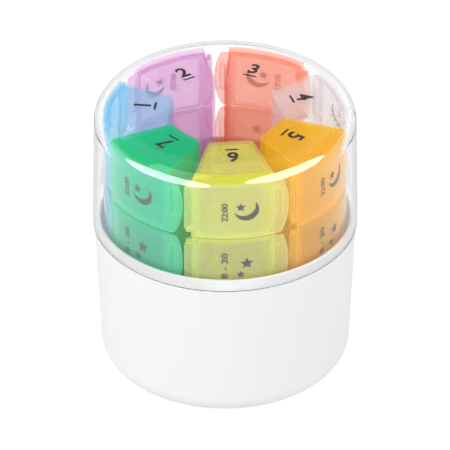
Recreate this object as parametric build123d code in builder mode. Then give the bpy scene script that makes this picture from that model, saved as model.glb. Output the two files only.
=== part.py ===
from build123d import *
from math import asin, cos, degrees, radians, sin, sqrt, tan
import os

# Round weekly pill organizer: a white cup, a clear cover that sits on its shoulder, and a ring of
# seven wedge towers, one for each day, each with four compartments behind hinged lids.
# Millimetres, +Z up, origin at the centre of the cup's underside. The first day named below stands at
# the front, towards -Y, and the others follow anticlockwise, seen from above.

# Counts and turns
level_count = 4
front_turn = 5.35
days = ["saturday", "friday", "thursday", "wednesday", "tuesday", "monday", "sunday"]
doses = ["morning", "noon", "evening", "night"]
pitch_angle = 360 / len(days)
half_pitch = pitch_angle / 2

# Clear cover
cover_r = 60.0
cover_h = 61.5
cover_wall = 1.7
cover_taper = 1.2
cover_edge_r = 9.3
cover_lead = 0.5

# White cup
cup_h = 70.6
cup_step = 0.6
cup_taper = 2.8
cup_wall = 1.3
cup_edge_r = 9.0
cup_floor = 2.0
cavity_edge_r = 6.0
rim_round = 0.4
collar_h = 5.0
collar_gap = 0.3
collar_wall = 1.5
collar_taper = 0.15
collar_round = 0.5

# Tray on the cup's floor that carries and spaces the towers
tray_t = 3.0
tray_play = 0.3
hub_play = 0.3
fin_h = 2.0
fin_play = 0.55
fin_reach = 14.0

# Day tower
well_r = 24.5
tower_gap = 3.7
tower_wall = 1.3
top_t = 1.5
top_space = 3.7
top_band = 3.2
bottom_band = 2.4
curtain_t = 1.8
divider_t = 1.4
lip_t = 1.1
lip_step = 0.4
cell_round = 3.0
back_round = 1.4
top_round = 0.8
lip_round = 0.3
hinge_side = 19.7
tab_side = 15.5

# Lid
lid_t = 1.2
lid_round = 0.4
lid_gap = 1.9
lid_play = 0.4
seat_play = 0.2
strip_margin = 1.0
strip_w = 3.25
strip_depth = 2.7
strip_down = 2.5
strip_up = 4.0
strip_round = 0.5
tab_margin = 0.6
tab_top_in = 2.5
tab_low_in = 3.3
tab_round = 1.3
frame_t = 0.8
frame_depth = 1.2
frame_play = 0.35
frame_round = 2.4

# Hinge pins and their ears
pin_r = 0.6
pin_play = 0.08
pin_inset = 0.3
ear_r = 1.15
ear_t = 1.6
ear_play = 0.3
ear_back = 0.8
ear_reach = 5.0

# Catch under the tab
catch_out = 0.6
catch_h = 9.0
catch_w = 1.6
catch_back = 1.8
hook_h = 13.4
hook_t = 1.0
hook_depth = 2.6
hook_play = 0.3
hook_rise = 1.8
pad_w = 3.4
pad_t = 1.1

# What follows from the sizes above
cover_in_r = cover_r - cover_wall
cover_top_z = cup_h + cover_h
cover_top_r = cover_r - cover_taper
cup_rim_r = cover_r - cup_step
cup_foot_r = cup_rim_r - cup_taper
collar_r = cover_in_r - collar_gap
collar_top_z = cup_h + collar_h
cavity_top_r = collar_r - collar_wall
cavity_foot_r = cup_foot_r - cup_wall
tray_r = cavity_foot_r - cavity_edge_r - tray_play
seat_z = cup_floor + tray_t
hub_r = well_r - hub_play
fin_t = tower_gap - 2 * fin_play

lid_r = cavity_foot_r - lid_play
lid_in_r = lid_r - lid_t
body_r = lid_in_r - seat_play
lip_r = lid_r - lip_step
curtain_r = body_r - curtain_t
tower_top_z = cover_top_z - cover_wall - top_space
tower_h = tower_top_z - seat_z
lid_pitch = (tower_h - top_band - bottom_band + lid_gap) / level_count
lid_h = lid_pitch - lid_gap
back_half = well_r * tan(radians(half_pitch)) - tower_gap / 2 / cos(radians(half_pitch))
strip_angle = half_pitch - degrees(strip_margin / lid_r)
plate_angle = strip_angle - degrees(strip_w / lid_r)
tab_angle = half_pitch - degrees(tab_margin / lid_r)
pin_at_r = lid_in_r - pin_inset
pin_angle = (strip_angle + plate_angle) / 2
pin_u = pin_at_r * cos(radians(pin_angle))
pin_v = -pin_at_r * sin(radians(pin_angle))
strip_h = lid_h - strip_down - strip_up
frame_in_r = lid_in_r - frame_depth
catch_r = body_r - catch_back


def lid_low_z(level):
    return seat_z + bottom_band + level * lid_pitch


def side_start(side, inset):
    """Where a tower's back meets one side, both moved in by inset: side is -1 at the hinge, 1 at the tab."""
    slope = radians(hinge_side if side < 0 else tab_side)
    along = (inset - inset * sin(slope)) / cos(slope)
    return well_r + inset, side * (back_half - inset * cos(slope) + along * sin(slope))


def side_point(side, radius, inset=0.0):
    """The point of one side, moved in by inset, that lies at a radius from the ring's axis."""
    slope = radians(hinge_side if side < 0 else tab_side)
    u, v = side_start(side, inset)
    du, dv = cos(slope), side * sin(slope)
    dot = u * du + v * dv
    run = -dot + sqrt(dot * dot - u * u - v * v + radius * radius)
    return u + run * du, v + run * dv


def wedge(inset, reach):
    """The four corners of a tower's plan, moved in by inset, with the straight far edge past reach."""
    far = reach / cos(radians(half_pitch))
    return [
        side_start(-1, inset),
        side_point(-1, far, inset),
        side_point(1, far, inset),
        side_start(1, inset),
    ]


def polar(radius, angle):
    return radius * cos(radians(angle)), radius * sin(radians(angle))


def ring_sector(inner, outer, low_angle, high_angle):
    """The band between two radii and two angles."""
    middle = (low_angle + high_angle) / 2
    with BuildSketch() as band:
        with BuildLine():
            ThreePointArc(polar(outer, low_angle), polar(outer, middle), polar(outer, high_angle))
            Line(polar(outer, high_angle), polar(inner, high_angle))
            ThreePointArc(polar(inner, high_angle), polar(inner, middle), polar(inner, low_angle))
            Line(polar(inner, low_angle), polar(outer, low_angle))
        make_face()
    return band.sketch


def tower_plan(outer, inset=0.0, corner=0.0, inner=0.0):
    """A tower's plan between two radii, its sides moved in by inset and its back corners rounded."""
    with BuildSketch() as plan:
        with BuildLine():
            Polyline(*wedge(inset, outer), close=True)
        make_face()
        if corner:
            fillet(vertices().sort_by(Axis.X)[:2], corner)
        Circle(outer, mode=Mode.INTERSECT)
        if inner:
            Circle(inner, mode=Mode.SUBTRACT)
    return plan.sketch


# White cup with its collar
with BuildPart() as base_cup:
    with BuildSketch(Plane.XZ):
        with BuildLine():
            Polyline(
                (0, 0),
                (cup_foot_r, 0),
                (cup_rim_r, cup_h),
                (collar_r, cup_h),
                (collar_r - collar_taper, collar_top_z),
                (cavity_top_r, collar_top_z),
                (cavity_foot_r, cup_floor),
                (0, cup_floor),
                close=True,
            )
        make_face()
        fillet(vertices().group_by(Axis.Y)[-1], collar_round)
        fillet(vertices().group_by(Axis.Y)[2].sort_by(Axis.X)[-1], rim_round)
        fillet(vertices().group_by(Axis.Y)[1].sort_by(Axis.X)[-1], cavity_edge_r)
        fillet(vertices().group_by(Axis.Y)[0].sort_by(Axis.X)[-1], cup_edge_r)
    revolve(axis=Axis.Z)

# Tray in the cup: a plate, a hub behind the towers and a fin between each two of them
with BuildPart() as tower_tray:
    with BuildSketch(Plane.XY.offset(cup_floor)):
        Circle(tray_r)
    extrude(amount=tray_t)
    with BuildSketch(Plane.XY.offset(seat_z)):
        Circle(hub_r)
        with PolarLocations(hub_r + fin_reach / 2, len(days), start_angle=front_turn - 90 + half_pitch):
            Rectangle(fin_reach + fin_t, fin_t)
    extrude(amount=fin_h)

# Clear cover, one even wall with a rounded top edge
with BuildPart() as clear_cover:
    with BuildSketch(Plane.XZ):
        with BuildLine():
            Polyline(
                (cover_in_r, cup_h),
                (cover_r, cup_h),
                (cover_top_r, cover_top_z),
                (0, cover_top_z),
                (0, cover_top_z - cover_wall),
                (cover_top_r - cover_wall, cover_top_z - cover_wall),
                close=True,
            )
        make_face()
        fillet(vertices().group_by(Axis.Y)[1].sort_by(Axis.X)[-1], cover_edge_r - cover_wall)
        fillet(vertices().group_by(Axis.Y)[-1].sort_by(Axis.X)[-1], cover_edge_r)
        chamfer(vertices().group_by(Axis.Y)[0].sort_by(Axis.X)[0], cover_lead)
    revolve(axis=Axis.Z)

# One day tower, drawn with its lids' side towards +X
with BuildPart() as tower:
    with BuildSketch(Plane.XY.offset(seat_z)):
        add(tower_plan(body_r, corner=back_round))
    extrude(amount=tower_h)
    top_lip_z = lid_low_z(level_count - 1) + lid_h + (lid_gap - lip_t) / 2
    with BuildSketch(Plane.XY.offset(top_lip_z)):
        add(tower_plan(lip_r, inner=curtain_r))
    extrude(amount=tower_top_z - top_lip_z)
    fillet(faces().sort_by(Axis.Z)[-1].edges(), top_round)
    for level in range(level_count):
        with BuildSketch(Plane.XY.offset(lid_low_z(level) - (lid_gap + lip_t) / 2)):
            add(tower_plan(lip_r, inner=curtain_r))
        extrude(amount=lip_t)
        cell_z = lid_low_z(level) - (lid_gap - divider_t) / 2
        with BuildSketch(Plane.XY.offset(cell_z)):
            add(tower_plan(cover_r, tower_wall, cell_round))
        extrude(amount=lid_pitch - divider_t, mode=Mode.SUBTRACT)
        with BuildSketch(Plane.XY.offset(lid_low_z(level) + hook_rise + (lid_h - catch_h) / 2)):
            with BuildLine():
                Polyline(
                    side_point(1, catch_r - catch_w, tower_wall / 2),
                    side_point(1, catch_r - catch_w),
                    side_point(1, catch_r - catch_w / 2, -catch_out),
                    side_point(1, catch_r),
                    side_point(1, catch_r, tower_wall / 2),
                    close=True,
                )
            make_face()
        extrude(amount=catch_h)
        strip_z = lid_low_z(level) + strip_up
        for ear_z in (strip_z - ear_play - ear_t, strip_z + strip_h + ear_play):
            with BuildSketch(Plane.XY.offset(ear_z)):
                with BuildLine():
                    Polyline(
                        (pin_u + ear_r, pin_v),
                        side_point(-1, body_r - ear_back),
                        side_point(-1, body_r - ear_back, tower_wall / 2),
                        side_point(-1, body_r - ear_back - ear_reach, tower_wall / 2),
                        side_point(-1, body_r - ear_back - ear_reach),
                        (pin_u - ear_r, pin_v),
                        close=True,
                    )
                make_face()
                with Locations((pin_u, pin_v)):
                    Circle(ear_r)
                    Circle(pin_r + pin_play, mode=Mode.SUBTRACT)
            extrude(amount=ear_t)
    top_cell_z = lid_low_z(level_count - 1) + lid_h / 2
    with BuildSketch(Plane.XY.offset(top_cell_z)):
        add(tower_plan(curtain_r, tower_wall, cell_round))
    extrude(amount=tower_top_z - top_t - top_cell_z, mode=Mode.SUBTRACT)
    rims = edges().filter_by(GeomType.CIRCLE).filter_by(lambda rim: abs(rim.radius - lip_r) < lip_round)
    fillet(rims.sort_by(Axis.Z)[:-1], lip_round)

# The frame on a lid's inner face, which steps into the cell's mouth
with BuildPart() as lid_frame:
    with BuildSketch(Plane.XY.offset(lid_low_z(0))):
        add(tower_plan(lid_in_r + lid_t / 2, tower_wall, inner=frame_in_r))
    extrude(amount=lid_h)
    with BuildSketch(Plane.YZ):
        frame_low_v = side_point(-1, frame_in_r, tower_wall)[1] + frame_play
        frame_high_v = side_point(1, frame_in_r, tower_wall)[1] - frame_play
        frame_w = frame_high_v - frame_low_v
        frame_h = lid_pitch - divider_t - 2 * frame_play
        with Locations(((frame_low_v + frame_high_v) / 2, lid_low_z(0) + lid_h / 2)):
            RectangleRounded(frame_w, frame_h, frame_round)
            RectangleRounded(
                frame_w - 2 * frame_t,
                frame_h - 2 * frame_t,
                frame_round - frame_t,
                mode=Mode.SUBTRACT,
            )
    extrude(amount=cover_r, mode=Mode.INTERSECT)

# One lid at the lowest cell of the same tower: plate and tab, hinge strip, pins, frame and catch hook
with BuildPart() as lid:
    with BuildSketch(Plane.XY.offset(lid_low_z(0))):
        add(ring_sector(lid_in_r, lid_r, -plate_angle, half_pitch))
    extrude(amount=lid_h)
    with BuildSketch(Plane.YZ):
        tab_v = lid_r * sin(radians(tab_angle))
        low_z = lid_low_z(0)
        with BuildLine():
            Line((-lid_r, low_z), (tab_v - tab_low_in, low_z))
            ThreePointArc(
                (tab_v - tab_low_in, low_z),
                (tab_v, low_z + lid_h / 2),
                (tab_v - tab_top_in, low_z + lid_h),
            )
            Polyline((tab_v - tab_top_in, low_z + lid_h), (-lid_r, low_z + lid_h), (-lid_r, low_z))
        make_face()
        fillet(vertices().sort_by(Axis.X)[-2:], tab_round)
    extrude(amount=cover_r, mode=Mode.INTERSECT)
    with BuildSketch(Plane.XY.offset(lid_low_z(0) + strip_up)):
        add(ring_sector(lid_r - strip_depth, lid_r, -strip_angle, -plate_angle))
        fillet(vertices().sort_by(Axis.Y)[:2], strip_round)
        add(ring_sector(lid_in_r, lid_r, -pin_angle, -plate_angle / 2))
    extrude(amount=strip_h)
    with BuildSketch(Plane.XY.offset(lid_low_z(0) + strip_up - ear_play - ear_t)):
        with Locations((pin_u, pin_v)):
            Circle(pin_r)
    extrude(amount=strip_h + 2 * (ear_play + ear_t))
    add(lid_frame.part)
    hook_v = max(side_point(1, body_r)[1], side_point(1, catch_r, -catch_out)[1]) + hook_play
    pad_low = degrees(asin(hook_v / (lid_in_r - pad_t)))
    with BuildSketch(Plane.XY.offset(lid_low_z(0) + hook_rise + (lid_h - hook_h) / 2)):
        add(ring_sector(lid_in_r - pad_t, lid_r - lid_t / 2, pad_low, pad_low + degrees(pad_w / lid_in_r)))
        hook_u = sqrt((lid_r - lid_t / 2) ** 2 - (hook_v + hook_t) ** 2)
        with Locations((hook_u - (hook_depth + lid_t / 2) / 2, hook_v + hook_t / 2)):
            Rectangle(hook_depth + lid_t / 2, hook_t)
    extrude(amount=hook_h)
    outer_face = faces().filter_by(GeomType.CYLINDER).sort_by(SortBy.AREA)[-1]
    fillet(outer_face.edges(), lid_round)

# Every piece in its place, one file each
pieces = {"base_cup": base_cup.part, "tower_tray": tower_tray.part, "clear_cover": clear_cover.part}
for number, day in enumerate(days):
    turn = front_turn - 90 + number * pitch_angle
    pieces[f"{day}_tower"] = tower.part.moved(Location((0, 0, 0), (0, 0, turn)))
    for level, dose in enumerate(doses):
        place = Location((0, 0, level * lid_pitch), (0, 0, turn))
        pieces[f"{day}_{dose}_lid"] = lid.part.moved(place)

os.makedirs("parts", exist_ok=True)
for name, piece in pieces.items():
    piece.label = name
    export_step(piece, f"parts/{name}.step")
    print(name, len(piece.solids()), round(piece.volume, 1))
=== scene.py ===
import math
import bmesh
import bpy
from mathutils import Matrix, Vector


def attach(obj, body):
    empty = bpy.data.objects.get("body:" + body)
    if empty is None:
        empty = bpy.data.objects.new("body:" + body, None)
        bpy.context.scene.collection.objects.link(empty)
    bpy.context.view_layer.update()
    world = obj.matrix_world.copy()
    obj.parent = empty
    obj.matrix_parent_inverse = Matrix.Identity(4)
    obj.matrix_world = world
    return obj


# Round weekly pill organizer: seven tinted day towers in a white cup under a clear cover.
# Lengths in the dictionaries are millimetres where nothing else is said.
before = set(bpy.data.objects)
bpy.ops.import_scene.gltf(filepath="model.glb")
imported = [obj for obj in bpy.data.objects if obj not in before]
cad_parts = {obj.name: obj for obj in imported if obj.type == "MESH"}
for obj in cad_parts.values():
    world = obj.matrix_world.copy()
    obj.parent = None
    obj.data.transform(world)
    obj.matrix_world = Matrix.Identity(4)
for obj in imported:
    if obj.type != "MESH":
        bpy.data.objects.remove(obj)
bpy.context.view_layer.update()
mm = 0.001
print("frame loaded:", len(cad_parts), "pieces")

ring = {
    "days": ["saturday", "friday", "thursday", "wednesday", "tuesday", "monday", "sunday"],  # anticlockwise
    "doses": ["morning", "noon", "evening", "night"],  # from the foot up
    "frontTurn": 5.35,  # degrees of the front tower from straight ahead
}


def towerTurn(day):
    pitch = 360 / len(ring["days"])
    return math.radians(ring["frontTurn"] - 90 + pitch * ring["days"].index(day))


# Camera: the photograph's long lens from above the front; the aim and the distance are metres
camera = {
    "lens": 426,
    "sensor": 36,
    "aim": Vector((-0.0001, 0, 0.066)),
    "elevation": 34.13,
    "away": 2.4186,
}


def makeCamera():
    data = bpy.data.cameras.new("photoCamera")
    data.lens = camera["lens"]
    data.sensor_width = camera["sensor"]
    lift = math.radians(camera["elevation"])
    back = Vector((0, -math.cos(lift), math.sin(lift)))
    eye = bpy.data.objects.new("photoCamera", data)
    eye.location = camera["aim"] + back * camera["away"]
    eye.rotation_euler = (-back).to_track_quat("-Z", "Y").to_euler()
    bpy.context.scene.collection.objects.link(eye)
    bpy.context.scene.camera = eye


makeCamera()
print("camera placed")


# Node helpers shared by the materials and the geometry trees
def addNode(tree, kind, inputs=None, **settings):
    made = tree.nodes.new(kind)
    for name, value in settings.items():
        setattr(made, name, value)
    for name, value in (inputs or {}).items():
        if isinstance(value, bpy.types.NodeSocket):
            tree.links.new(value, made.inputs[name])
        else:
            made.inputs[name].default_value = value
    return made


def calculate(tree, operation, first, second=0.0):
    return addNode(tree, "ShaderNodeMath", {0: first, 1: second}, operation=operation).outputs[0]


def ramp(tree, value, start, end, low=0.0, high=1.0):
    made = addNode(tree, "ShaderNodeMapRange", {"Value": value, "From Min": start, "From Max": end,
                                                "To Min": low, "To Max": high})
    return made.outputs["Result"]


def mixColours(tree, share, first, second):
    return addNode(tree, "ShaderNodeMix", {0: share, 6: first, 7: second}, data_type="RGBA").outputs[2]


def mixShaders(tree, share, first, second):
    return addNode(tree, "ShaderNodeMixShader", {0: share, 1: first, 2: second}).outputs[0]


def newMaterial(name):
    made = bpy.data.materials.new(name)
    made.use_nodes = True
    made.node_tree.nodes.clear()
    return made, made.node_tree


def placeOnPiece(tree):
    return addNode(tree, "ShaderNodeTexCoord").outputs["Object"]


# How far a point lies from the upright axis of the ring, and how high
def reachAndHeight(tree):
    spot = addNode(tree, "ShaderNodeSeparateXYZ", {0: placeOnPiece(tree)})
    flat = addNode(tree, "ShaderNodeCombineXYZ", {"X": spot.outputs["X"], "Y": spot.outputs["Y"]})
    reach = addNode(tree, "ShaderNodeVectorMath", {0: flat.outputs[0]}, operation="LENGTH")
    return reach.outputs["Value"], spot.outputs["Z"]


# Above a height, 0 at the radius start and 1 at the radius end, which lies inside it or outside
def topZone(tree, start, end, height):
    reach, up = reachAndHeight(tree)
    within = ramp(tree, reach, start * mm, end * mm)
    above = calculate(tree, "GREATER_THAN", up, height * mm)
    return calculate(tree, "MULTIPLY", within, above)


# Roughness that drifts between two values over the piece, as on a moulded face
def mouldedGrain(tree, look):
    noise = addNode(tree, "ShaderNodeTexNoise", {"Vector": placeOnPiece(tree), "Scale": look["grainScale"],
                                                 "Detail": 3.0})
    return ramp(tree, noise.outputs["Fac"], 0.0, 1.0, look["roughLow"], look["roughHigh"])


# White cup, with a painted shade ring on its shoulder where the cover's foot rests
whiteCup = {
    "colour": (0.90, 0.90, 0.90, 1),
    "paintedShadeColour": (0.30, 0.30, 0.31, 1),
    "paintedShadeRadius": 58.7,  # the shoulder outside this lies in the shade of the cover's foot, painted here as a dark ring
    "paintedShadeLow": 70.1,
    "paintedShadeHigh": 70.75,
    "ior": 1.46,
    "roughLow": 0.28,
    "roughHigh": 0.38,
    "grainScale": 180,
    "orangePeel": 0.03,
    "peelScale": 900,
}


def cupMaterial(look):
    made, tree = newMaterial("whiteCupPlastic")
    peel = addNode(tree, "ShaderNodeTexNoise", {"Vector": placeOnPiece(tree), "Scale": look["peelScale"]})
    bump = addNode(tree, "ShaderNodeBump", {"Height": peel.outputs["Fac"], "Strength": look["orangePeel"],
                                            "Distance": mm})
    # Painted shade: a dark ring on the shoulder under the cover's foot stands in for the shade the cover
    # casts there
    reach, height = reachAndHeight(tree)
    outer = calculate(tree, "GREATER_THAN", reach, look["paintedShadeRadius"] * mm)
    above = calculate(tree, "GREATER_THAN", height, look["paintedShadeLow"] * mm)
    below = calculate(tree, "LESS_THAN", height, look["paintedShadeHigh"] * mm)
    paintedShade = calculate(tree, "MULTIPLY", calculate(tree, "MULTIPLY", outer, above), below)
    skin = addNode(tree, "ShaderNodeBsdfPrincipled", {
        "Base Color": mixColours(tree, paintedShade, look["colour"], look["paintedShadeColour"]),
        "Roughness": mouldedGrain(tree, look),
        "Normal": bump.outputs["Normal"],
        "IOR": look["ior"],
    })
    addNode(tree, "ShaderNodeOutputMaterial", {"Surface": skin.outputs[0]})
    return made


# Clear cover; its flat top mirrors less than its walls, so that the towers show through it from all sides
clearCover = {
    "tint": (0.985, 0.988, 0.992, 1),
    "lamp": (0.99, 0.99, 0.995, 1),  # what a wall lets through of a lamp
    "ior": 1.49,
    "roughness": 0.0,
    "topTint": (0.952, 0.955, 0.958, 1),
    "topShine": 0.1,  # share of a wall's shine
    "topRadius": 49.5,
    "topFade": 2.5,
    "topHeight": 128,
}


def coverMaterial(look):
    made, tree = newMaterial("clearCoverPlastic")
    wall = addNode(tree, "ShaderNodeBsdfPrincipled", {
        "Base Color": look["tint"],
        "Roughness": look["roughness"],
        "IOR": look["ior"],
        "Transmission Weight": 1.0,
    })
    through = addNode(tree, "ShaderNodeBsdfRefraction", {"Color": look["topTint"], "IOR": look["ior"],
                                                         "Roughness": look["roughness"]})
    shine = addNode(tree, "ShaderNodeBsdfGlossy", {"Color": (1, 1, 1, 1), "Roughness": look["roughness"]})
    bright = addNode(tree, "ShaderNodeFresnel", {"IOR": look["ior"]})
    faint = calculate(tree, "MULTIPLY", bright.outputs[0], look["topShine"])
    top = mixShaders(tree, faint, through.outputs[0], shine.outputs[0])
    onTop = topZone(tree, look["topRadius"], look["topRadius"] - look["topFade"], look["topHeight"])
    skin = mixShaders(tree, onTop, wall.outputs[0], top)
    ray = addNode(tree, "ShaderNodeLightPath")
    lampPath = addNode(tree, "ShaderNodeBsdfTransparent", {"Color": look["lamp"]})
    both = mixShaders(tree, ray.outputs["Is Shadow Ray"], skin, lampPath.outputs[0])
    addNode(tree, "ShaderNodeOutputMaterial", {"Surface": both})
    return made


# Tinted towers and lids. For each day: the haze of its lids and of its tower, how much haze the tower has,
# the band along the tower's top, the painted glow of the tower's edges and of the lids' rims, and what a
# millimetre of the plastic takes from red, green and blue.
tints = {
    "saturday": {"lid": (0.80, 0.89, 0.38, 1), "tower": (0.82, 0.84, 0.26, 1), "milk": 0.26, "band": 0.85,
                 "edge": (0.78, 0.80, 0.04, 1), "rim": (0.97, 1.0, 0.30, 1), "takes": (0.003, 0.010, 0.13)},
    "sunday": {"lid": (0.15, 0.82, 0.62, 1), "tower": (0.01, 0.62, 0.32, 1), "milk": 0.45, "band": 0.7,
               "edge": (0.0, 0.66, 0.28, 1), "rim": (0.40, 0.95, 0.70, 1), "takes": (0.32, 0.012, 0.07)},
    "monday": {"lid": (0.46, 0.76, 0.95, 1), "tower": (0.44, 0.74, 0.92, 1), "milk": 0.14, "band": 0.3,
               "edge": (0.03, 0.46, 0.76, 1), "rim": (0.20, 0.62, 0.90, 1), "takes": (0.08, 0.022, 0.006)},
    "tuesday": {"lid": (0.82, 0.58, 0.82, 1), "tower": (0.82, 0.62, 0.82, 1), "milk": 0.18, "band": 0.15,
                "edge": (0.52, 0.16, 0.55, 1), "rim": (0.62, 0.28, 0.66, 1), "takes": (0.012, 0.080, 0.030)},
    "wednesday": {"lid": (0.98, 0.46, 0.36, 1), "tower": (0.97, 0.66, 0.60, 1), "milk": 0.22, "band": 0.15,
                  "edge": (0.95, 0.20, 0.10, 1), "rim": (1.0, 0.36, 0.24, 1), "takes": (0.002, 0.13, 0.19)},
    "thursday": {"lid": (0.84, 0.82, 0.84, 1), "tower": (0.80, 0.78, 0.80, 1), "milk": 0.18, "band": 0.2,
                 "edge": (0.62, 0.60, 0.64, 1), "rim": (0.80, 0.78, 0.82, 1), "takes": (0.004, 0.006, 0.005)},
    "friday": {"lid": (0.95, 0.60, 0.02, 1), "tower": (0.95, 0.62, 0.06, 1), "milk": 0.40, "band": 0.7,
               "edge": (0.95, 0.56, 0.01, 1), "rim": (1.0, 0.74, 0.16, 1), "takes": (0.003, 0.028, 0.60)},
}
# What the plastic of the towers and of the lids has in common, then each by itself
tintedPlastic = {
    "through": 0.5,  # share of the haze that lets light through to the far side
    "ior": 1.45,
    "flat": 0.99,  # cosine of the turn from a face to its rounded edge where the glow starts
    "sharp": 0.80,  # and where it is full
    "edgeSamples": 4,
    "strongest": 0.95,  # the most that the volume's colour takes; its density does the rest
}
towerSkin = {
    **tintedPlastic,
    "edgeShare": 0.95,
    "edgeWidth": 0.45,
    "roughLow": 0.05,
    "roughHigh": 0.12,
    "grainScale": 120,
    "dense": 1.0,
    "bandRadius": 50.2,
    "bandFade": 0.5,
    "bandHeight": 124.5,
}
lidSkin = {
    **tintedPlastic,
    "milk": 0.32,
    "edgeShare": 0.9,
    "edgeWidth": 0.5,
    "roughLow": 0.10,
    "roughHigh": 0.18,
    "grainScale": 150,
    "dense": 0.65,
}


# The haze has one colour and share on the faces, and another colour and a larger share along the edges and
# in the band along the outer edge of a tower's top, where the wall is seen lengthwise. That is a painted glow
# of light carried in the plastic, together with the deeper colour of its longer path.
def tintMaterial(name, haze, milk, edge, tint, look):
    made, tree = newMaterial(name)
    side = addNode(tree, "ShaderNodeNewGeometry")
    rounded = addNode(tree, "ShaderNodeBevel", {"Radius": look["edgeWidth"] * mm},
                      samples=look["edgeSamples"])
    turn = addNode(tree, "ShaderNodeVectorMath", {0: rounded.outputs[0], 1: side.outputs["Normal"]},
                   operation="DOT_PRODUCT").outputs["Value"]
    share = ramp(tree, turn, look["flat"], look["sharp"], milk, look["edgeShare"])
    glow = ramp(tree, turn, look["flat"], look["sharp"])
    if "bandRadius" in look:
        band = topZone(tree, look["bandRadius"], look["bandRadius"] + look["bandFade"], look["bandHeight"])
        thick = calculate(tree, "MULTIPLY", band, tint["band"])
        share = calculate(tree, "MAXIMUM", share, thick)
        glow = calculate(tree, "MAXIMUM", glow, thick)
    # Painted glow: along the edges and in the top band the haze takes the brighter, more saturated edge
    # colour
    colour = mixColours(tree, glow, haze, edge)
    near = addNode(tree, "ShaderNodeBsdfDiffuse", {"Color": colour})
    far = addNode(tree, "ShaderNodeBsdfTranslucent", {"Color": colour})
    cloudy = mixShaders(tree, look["through"], near.outputs[0], far.outputs[0])
    clear = addNode(tree, "ShaderNodeBsdfTransparent", {"Color": (1, 1, 1, 1)})
    body = mixShaders(tree, share, clear.outputs[0], cloudy)
    gloss = addNode(tree, "ShaderNodeBsdfGlossy", {"Color": (1, 1, 1, 1),
                                                   "Roughness": mouldedGrain(tree, look)})
    bright = addNode(tree, "ShaderNodeFresnel", {"IOR": look["ior"]})
    front = calculate(tree, "SUBTRACT", 1.0, side.outputs["Backfacing"])
    mirror = calculate(tree, "MULTIPLY", bright.outputs[0], front)
    skin = mixShaders(tree, mirror, body, gloss.outputs[0])
    density = max(tint["takes"]) * look["dense"] / look["strongest"]
    left = [1 - taken * look["dense"] / density for taken in tint["takes"]]
    inside = addNode(tree, "ShaderNodeVolumeAbsorption", {"Color": (*left, 1), "Density": density / mm})
    addNode(tree, "ShaderNodeOutputMaterial", {"Surface": skin, "Volume": inside.outputs[0]})
    return made


darkInk = {"colour": (0.028, 0.028, 0.031, 1), "roughLow": 0.45, "roughHigh": 0.6, "grainScale": 400}


def inkMaterial(look):
    made, tree = newMaterial("darkPrint")
    skin = addNode(tree, "ShaderNodeBsdfPrincipled", {
        "Base Color": look["colour"],
        "Roughness": mouldedGrain(tree, look),
    })
    addNode(tree, "ShaderNodeOutputMaterial", {"Surface": skin.outputs[0]})
    return made


def dress(name, material):
    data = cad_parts[name].data
    data.materials.clear()
    data.materials.append(material)


white = cupMaterial(whiteCup)
dress("base_cup", white)
dress("tower_tray", white)
dress("clear_cover", coverMaterial(clearCover))
for day in ring["days"]:
    tint = tints[day]
    shell = tintMaterial(day + "TowerPlastic", tint["tower"], tint["milk"], tint["edge"], tint, towerSkin)
    dress(day + "_tower", shell)
    plastic = tintMaterial(day + "LidPlastic", tint["lid"], lidSkin["milk"], tint["rim"], tint, lidSkin)
    for dose in ring["doses"]:
        dress(f"{day}_{dose}_lid", plastic)
ink = inkMaterial(darkInk)
print("materials made")


# Dark prints: a number on each tower's top for its day, and on each lid the hour beside a sun, stars or a
# moon. Across is along the lid towards its tab, up is from the lid's middle.
prints = {
    "radius": 54.9,
    "lidFoot": 7.4,
    "lidHeight": 27.6,
    "lidPitch": 29.5,
    "lift": 0.008,
    "thickness": 0.03,
    "strip": 1.0,  # widest flat stretch across the lid
    "weld": 0.001,  # points nearer than this become one
    "seal": 0.0001,  # the same for the outlines of a print's two faces
    "hours": {  # words, long, tall
        "morning": ("08:00", 9.6, 2.9),
        "noon": ("12 - 14", 15.6, 2.9),
        "evening": ("18 - 20", 15.6, 2.9),
        "night": ("22:00", 9.6, 2.9),
    },
    "hourAt": (-5.4, 0.5),
    "letterWeight": 0.028,  # widens the strokes, in parts of the font's size
    "letterSteps": 5,
    "numbers": {"monday": "1", "tuesday": "2", "wednesday": "3", "thursday": "4", "friday": "5",
                "saturday": "6", "sunday": "7"},
    "numberAt": 37.5,
    "numberTall": 7.8,
    "barSize": (6.0, 1.0),
    "barBelow": 1.5,
    "topHeight": 126.7,
}
signs = {
    "sun": {"radius": 2.3, "rayStart": 0.7, "rayEnd": 2.1, "rayWidth": 0.55, "steps": 36},
    "halfSunAt": (5.4, 0.4),
    "halfSunRays": 5,
    "sunAt": (4.6, 0.4),
    "sunRays": 8,
    "bigStar": ((4.45, 2.3), 3.1),  # centre, radius
    "smallStar": ((1.7, -3.4), 2.1),
    "nightStar": ((1.7, 2.9), 2.4),
    "starWaist": 0.44,  # share of the star's radius at its notches
    "moon": ((4.4, 1.3), 5.45),
    "moonBite": ((3.2, 3.5), 5.2),
    "moonSteps": 40,
}


def circlePoints(centre, radius, start, end, steps):
    turns = [start + (end - start) * step / steps for step in range(steps + 1)]
    return [(centre[0] + radius * math.cos(turn), centre[1] + radius * math.sin(turn)) for turn in turns]


def starPoints(centre, radius):
    points = []
    for step in range(10):
        reach = radius if step % 2 == 0 else signs["starWaist"] * radius
        turn = math.pi / 2 + step * math.pi / 5
        points.append((centre[0] + reach * math.cos(turn), centre[1] + reach * math.sin(turn)))
    return points


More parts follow.
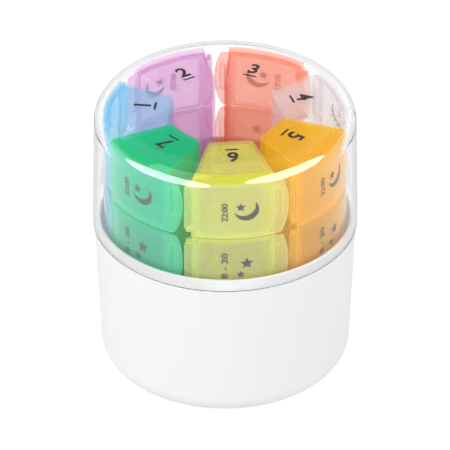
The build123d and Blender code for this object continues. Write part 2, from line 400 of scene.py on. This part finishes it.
# A crescent between a large circle and one that bites into it
def moonPoints(moon, bite, steps):
    centre, radius = moon
    biteCentre, biteRadius = bite
    away = Vector(biteCentre) - Vector(centre)
    apart = away.length
    toBite = math.atan2(away.y, away.x)
    half = math.acos((apart ** 2 + radius ** 2 - biteRadius ** 2) / (2 * apart * radius))
    biteHalf = math.acos((apart ** 2 + biteRadius ** 2 - radius ** 2) / (2 * apart * biteRadius))
    back = circlePoints(centre, radius, toBite + half, toBite + 2 * math.pi - half, steps)
    fromBite = toBite + math.pi
    front = circlePoints(biteCentre, biteRadius, fromBite + biteHalf, fromBite - biteHalf, steps)
    return back + front[1:-1]


def rayPoints(centre, turn, near, far, width):
    along = Vector((math.cos(turn), math.sin(turn)))
    across = Vector((-along.y, along.x)) * width / 2
    middle = Vector(centre)
    corners = (middle + along * near - across, middle + along * far - across,
               middle + along * far + across, middle + along * near + across)
    return [tuple(corner) for corner in corners]


def sunShapes(centre, first, last, rays, size):
    shapes = [circlePoints(centre, size["radius"], first, last, size["steps"])]
    near = size["radius"] + size["rayStart"]
    far = size["radius"] + size["rayEnd"]
    for step in range(rays):
        turn = first + (last - first) * (step + 0.5) / rays
        shapes.append(rayPoints(centre, turn, near, far, size["rayWidth"]))
    return shapes


icons = {
    "morning": sunShapes(signs["halfSunAt"], math.pi / 2, 3 * math.pi / 2, signs["halfSunRays"],
                         signs["sun"]),
    "noon": sunShapes(signs["sunAt"], 0, 2 * math.pi, signs["sunRays"], signs["sun"]),
    "evening": [starPoints(*signs["bigStar"]), starPoints(*signs["smallStar"])],
    "night": [moonPoints(signs["moon"], signs["moonBite"], signs["moonSteps"]),
              starPoints(*signs["nightStar"])],
}


# The mesh that an object has once its text or its modifiers are worked out; the object itself goes
def settledMesh(holder):
    bpy.context.view_layer.update()
    mesh = bpy.data.meshes.new_from_object(holder.evaluated_get(bpy.context.evaluated_depsgraph_get()))
    bpy.data.objects.remove(holder)
    return mesh


# Flat letters, upright, their box scaled to a length and a height, centred on zero; with no length they keep
# their proportions
def flatLetters(words, long, tall):
    curve = bpy.data.curves.new("letters", "FONT")
    curve.body = words
    curve.offset = prints["letterWeight"]
    curve.resolution_u = prints["letterSteps"]
    holder = bpy.data.objects.new("letters", curve)
    bpy.context.scene.collection.objects.link(holder)
    mesh = settledMesh(holder)
    bpy.data.curves.remove(curve)
    low = [min(point.co[axis] for point in mesh.vertices) for axis in (0, 1)]
    high = [max(point.co[axis] for point in mesh.vertices) for axis in (0, 1)]
    middle = [(low[axis] + high[axis]) / 2 for axis in (0, 1)]
    tallScale = tall / (high[1] - low[1])
    longScale = long / (high[0] - low[0]) if long else tallScale
    for point in mesh.vertices:
        point.co = ((point.co.x - middle[0]) * longScale, (point.co.y - middle[1]) * tallScale, 0)
    return mesh


def addShape(art, points):
    art.faces.new([art.verts.new((x, y, 0)) for x, y in points])


# Faces up, in triangles, cut into strips so that they can bend round the lid, then from millimetres to metres
def finishArt(art, strip):
    art.normal_update()
    bmesh.ops.triangulate(art, faces=art.faces[:])
    if strip:
        left = min(point.co.x for point in art.verts)
        right = max(point.co.x for point in art.verts)
        for step in range(1, int((right - left) / strip) + 1):
            bmesh.ops.bisect_plane(art, geom=art.verts[:] + art.edges[:] + art.faces[:],
                                   plane_co=(left + step * strip, 0, 0), plane_no=(1, 0, 0))
    bmesh.ops.remove_doubles(art, verts=art.verts[:], dist=prints["weld"])
    for face in art.faces:
        face.normal_update()
        if face.normal.z < 0:
            face.normal_flip()
    bmesh.ops.scale(art, vec=(mm, mm, mm), verts=art.verts[:])
    mesh = bpy.data.meshes.new("art")
    art.to_mesh(mesh)
    art.free()
    return mesh


def lidArt(dose):
    art = bmesh.new()
    art.from_mesh(flatLetters(*prints["hours"][dose]))
    bmesh.ops.rotate(art, verts=art.verts[:], matrix=Matrix.Rotation(math.pi / 2, 3, "Z"))
    bmesh.ops.translate(art, verts=art.verts[:], vec=(*prints["hourAt"], 0))
    for points in icons[dose]:
        addShape(art, points)
    return finishArt(art, prints["strip"])


# Bends a flat print round the towers' ring, gives it thickness and ink
def wrapTree():
    tree = bpy.data.node_groups.new("wrapPrint", "GeometryNodeTree")
    tree.interface.new_socket("Geometry", in_out="INPUT", socket_type="NodeSocketGeometry")
    for name in ("Radius", "Turn", "Height", "Thickness"):
        tree.interface.new_socket(name, in_out="INPUT", socket_type="NodeSocketFloat")
    tree.interface.new_socket("Ink", in_out="INPUT", socket_type="NodeSocketMaterial")
    tree.interface.new_socket("Geometry", in_out="OUTPUT", socket_type="NodeSocketGeometry")
    given = tree.nodes.new("NodeGroupInput").outputs
    raised = addNode(tree, "GeometryNodeExtrudeMesh", {"Mesh": given["Geometry"], "Individual": False,
                                                       "Offset Scale": given["Thickness"]})
    under = addNode(tree, "GeometryNodeFlipFaces", {"Mesh": given["Geometry"]})
    both = addNode(tree, "GeometryNodeJoinGeometry", {"Geometry": raised.outputs["Mesh"]})
    tree.links.new(under.outputs["Mesh"], both.inputs["Geometry"])
    closed = addNode(tree, "GeometryNodeMergeByDistance", {"Geometry": both.outputs[0],
                                                           "Distance": prints["seal"] * mm})
    point = tree.nodes.new("GeometryNodeInputPosition")
    place = addNode(tree, "ShaderNodeSeparateXYZ", {0: point.outputs[0]})
    turn = calculate(tree, "DIVIDE", place.outputs["X"], given["Radius"])
    turn = calculate(tree, "ADD", turn, given["Turn"])
    reach = calculate(tree, "ADD", place.outputs["Z"], given["Radius"])
    x = calculate(tree, "MULTIPLY", calculate(tree, "COSINE", turn), reach)
    y = calculate(tree, "MULTIPLY", calculate(tree, "SINE", turn), reach)
    z = calculate(tree, "ADD", place.outputs["Y"], given["Height"])
    onRing = addNode(tree, "ShaderNodeCombineXYZ", {"X": x, "Y": y, "Z": z})
    bent = addNode(tree, "GeometryNodeSetPosition", {"Geometry": closed.outputs[0],
                                                     "Position": onRing.outputs[0]})
    real = addNode(tree, "GeometryNodeRealizeInstances", {"Geometry": bent.outputs[0]})
    inked = addNode(tree, "GeometryNodeSetMaterial", {"Geometry": real.outputs[0], "Material": given["Ink"]})
    addNode(tree, "NodeGroupOutput", {"Geometry": inked.outputs[0]})
    return tree


# Runs a tree over a mesh and keeps the result as a plain piece
def settle(name, mesh, tree, values):
    holder = bpy.data.objects.new(name + "Art", mesh)
    bpy.context.scene.collection.objects.link(holder)
    modifier = holder.modifiers.new("tree", "NODES")
    modifier.node_group = tree
    for item in tree.interface.items_tree:
        if item.item_type == "SOCKET" and item.in_out == "INPUT" and item.name in values:
            modifier[item.identifier] = values[item.name]
    piece = bpy.data.objects.new(name, settledMesh(holder))
    bpy.context.scene.collection.objects.link(piece)
    return piece


def topNumber(day):
    art = bmesh.new()
    art.from_mesh(flatLetters(prints["numbers"][day], 0, prints["numberTall"]))
    long, tall = prints["barSize"]
    low = -prints["numberTall"] / 2 - prints["barBelow"]
    addShape(art, [(-long / 2, low - tall), (long / 2, low - tall), (long / 2, low), (-long / 2, low)])
    mesh = finishArt(art, 0)
    solid = bmesh.new()
    solid.from_mesh(mesh)
    raised = bmesh.ops.extrude_face_region(solid, geom=solid.faces[:])["geom"]
    bmesh.ops.translate(solid, verts=[item for item in raised if isinstance(item, bmesh.types.BMVert)],
                        vec=(0, 0, prints["thickness"] * mm))
    bmesh.ops.recalc_face_normals(solid, faces=solid.faces[:])
    turn = Matrix.Rotation(towerTurn(day) - math.pi / 2, 4, "Z")
    up = Matrix.Translation((0, prints["numberAt"] * mm, (prints["topHeight"] + prints["lift"]) * mm))
    bmesh.ops.transform(solid, matrix=turn @ up, verts=solid.verts[:])
    solid.to_mesh(mesh)
    solid.free()
    mesh.materials.append(ink)
    piece = bpy.data.objects.new(day + "_number", mesh)
    bpy.context.scene.collection.objects.link(piece)
    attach(piece, day + "_tower")


wrap = wrapTree()
for level, dose in enumerate(ring["doses"]):
    art = lidArt(dose)
    middle = prints["lidFoot"] + level * prints["lidPitch"] + prints["lidHeight"] / 2
    for day in ring["days"]:
        piece = settle(f"{day}_{dose}_print", art, wrap, {
            "Radius": (prints["radius"] + prints["lift"]) * mm,
            "Turn": towerTurn(day),
            "Height": middle * mm,
            "Thickness": prints["thickness"] * mm,
            "Ink": ink,
        })
        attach(piece, f"{day}_{dose}_lid")
for day in ring["days"]:
    topNumber(day)
print("prints placed:", len(ring["days"]) * (len(ring["doses"]) + 1))


# Floor and background: white to the eye and through the plastics, dimmer as a light and in reflections
sky = {
    "room": {"seen": 1.0, "light": 0.80, "shine": 0.95, "covered": 1.12},
    "floor": {"seen": 0.8, "light": 0.50, "shine": 0.5, "covered": 0.95},
    "floorColour": (0.3, 0.3, 0.3, 1),
    "floorHalf": 3.0,  # metres
    "overhead": 0.22,  # what the room's upper part gives to reflections
    "low": 0.12,  # sines of the heights between which the room's shine fades
    "high": 0.5,
}


once = 0.5  # tells a light path's depth of one from a depth of none


# 1 for a path that has bounced or passed in this way at least once
def hasHappened(tree, ray, way):
    return calculate(tree, "GREATER_THAN", ray.outputs[way + " Depth"], once)


def roomStrength(tree, level, shine):
    ray = addNode(tree, "ShaderNodeLightPath")
    straight = ramp(tree, hasHappened(tree, ray, "Glossy"), 0.0, 1.0, level["seen"], shine)
    lit = ramp(tree, hasHappened(tree, ray, "Transmission"), 0.0, 1.0, level["light"], level["covered"])
    return addNode(tree, "ShaderNodeMix", {0: hasHappened(tree, ray, "Diffuse"), 2: straight, 3: lit},
                   data_type="FLOAT").outputs[0]


def makeFloor():
    half = sky["floorHalf"]
    made = bmesh.new()
    addShape(made, [(-half, -half), (half, -half), (half, half), (-half, half)])
    data = bpy.data.meshes.new("floor")
    made.to_mesh(data)
    made.free()
    floor = bpy.data.objects.new("floor", data)
    bpy.context.scene.collection.objects.link(floor)
    material, tree = newMaterial("floorPaper")
    strength = roomStrength(tree, sky["floor"], sky["floor"]["shine"])
    glow = addNode(tree, "ShaderNodeEmission", {"Color": (1, 1, 1, 1), "Strength": strength})
    soft = addNode(tree, "ShaderNodeBsdfDiffuse", {"Color": sky["floorColour"]})
    shown = addNode(tree, "ShaderNodeAddShader", {0: glow.outputs[0], 1: soft.outputs[0]})
    addNode(tree, "ShaderNodeOutputMaterial", {"Surface": shown.outputs[0]})
    data.materials.append(material)


def makeSky():
    world = bpy.data.worlds.new("whiteRoom")
    world.use_nodes = True
    tree = world.node_tree
    tree.nodes.clear()
    place = addNode(tree, "ShaderNodeTexCoord")
    way = addNode(tree, "ShaderNodeSeparateXYZ", {0: place.outputs["Generated"]})
    shine = ramp(tree, way.outputs["Z"], sky["low"], sky["high"], sky["room"]["shine"], sky["overhead"])
    strength = roomStrength(tree, sky["room"], shine)
    room = addNode(tree, "ShaderNodeBackground", {"Color": (1, 1, 1, 1), "Strength": strength})
    addNode(tree, "ShaderNodeOutputWorld", {"Surface": room.outputs[0]})
    bpy.context.scene.world = world


# Lamps: two soft lights, and two cards that show in the gloss only, as the streaks on the cover's front edge.
# Turn is degrees from +X seen from above, lift is degrees up, and away, wide and tall are metres.
lampAim = Vector((0, 0, 0.12))
lamps = {
    "keyLamp": {"turn": -139, "lift": 42, "away": 1.6, "wide": 1.1, "tall": 1.1, "brightness": 2.35},
    "fillLamp": {"turn": -27, "lift": 30, "away": 1.8, "wide": 1.0, "tall": 1.0, "brightness": 1.55},
}
cards = {
    "leftCard": {"turn": -139, "lift": 6, "away": 0.8, "wide": 1.25, "tall": 0.55, "brightness": 11.0},
    "rightCard": {"turn": -36, "lift": 24, "away": 0.8, "wide": 1.1, "tall": 0.55, "brightness": 11.0},
}


def makeLamp(name, look):
    data = bpy.data.lights.new(name, "AREA")
    data.shape = "RECTANGLE"
    data.size = look["wide"]
    data.size_y = look["tall"]
    data.energy = look["brightness"] * math.pi * look["wide"] * look["tall"]
    lamp = bpy.data.objects.new(name, data)
    turn, lift = math.radians(look["turn"]), math.radians(look["lift"])
    way = Vector((math.cos(lift) * math.cos(turn), math.cos(lift) * math.sin(turn), math.sin(lift)))
    lamp.location = lampAim + way * look["away"]
    lamp.rotation_euler = (-way).to_track_quat("-Z", "Y").to_euler()
    lamp.visible_camera = False
    lamp.visible_transmission = False
    bpy.context.scene.collection.objects.link(lamp)
    return lamp


# A card sends no light to matt surfaces, also not by way of the cover
def makeCard(name, look):
    card = makeLamp(name, look)
    card.visible_diffuse = False
    card.data.shape = "ELLIPSE"
    card.data.use_nodes = True
    tree = card.data.node_tree
    tree.nodes.clear()
    ray = addNode(tree, "ShaderNodeLightPath")
    direct = calculate(tree, "LESS_THAN", ray.outputs["Diffuse Depth"], once)
    glow = addNode(tree, "ShaderNodeEmission", {"Strength": direct})
    addNode(tree, "ShaderNodeOutputLight", {"Surface": glow.outputs[0]})


makeFloor()
makeSky()
for name, look in lamps.items():
    makeLamp(name, look)
for name, look in cards.items():
    makeCard(name, look)

# Enough bounces for the cover, a lid and the tower's walls behind one another
bounces = {"all": 24, "transmission": 24, "transparent": 80}
bpy.context.scene.view_settings.view_transform = "Standard"
bpy.context.scene.cycles.max_bounces = bounces["all"]
bpy.context.scene.cycles.transmission_bounces = bounces["transmission"]
bpy.context.scene.cycles.transparent_max_bounces = bounces["transparent"]
print("floor and light placed")
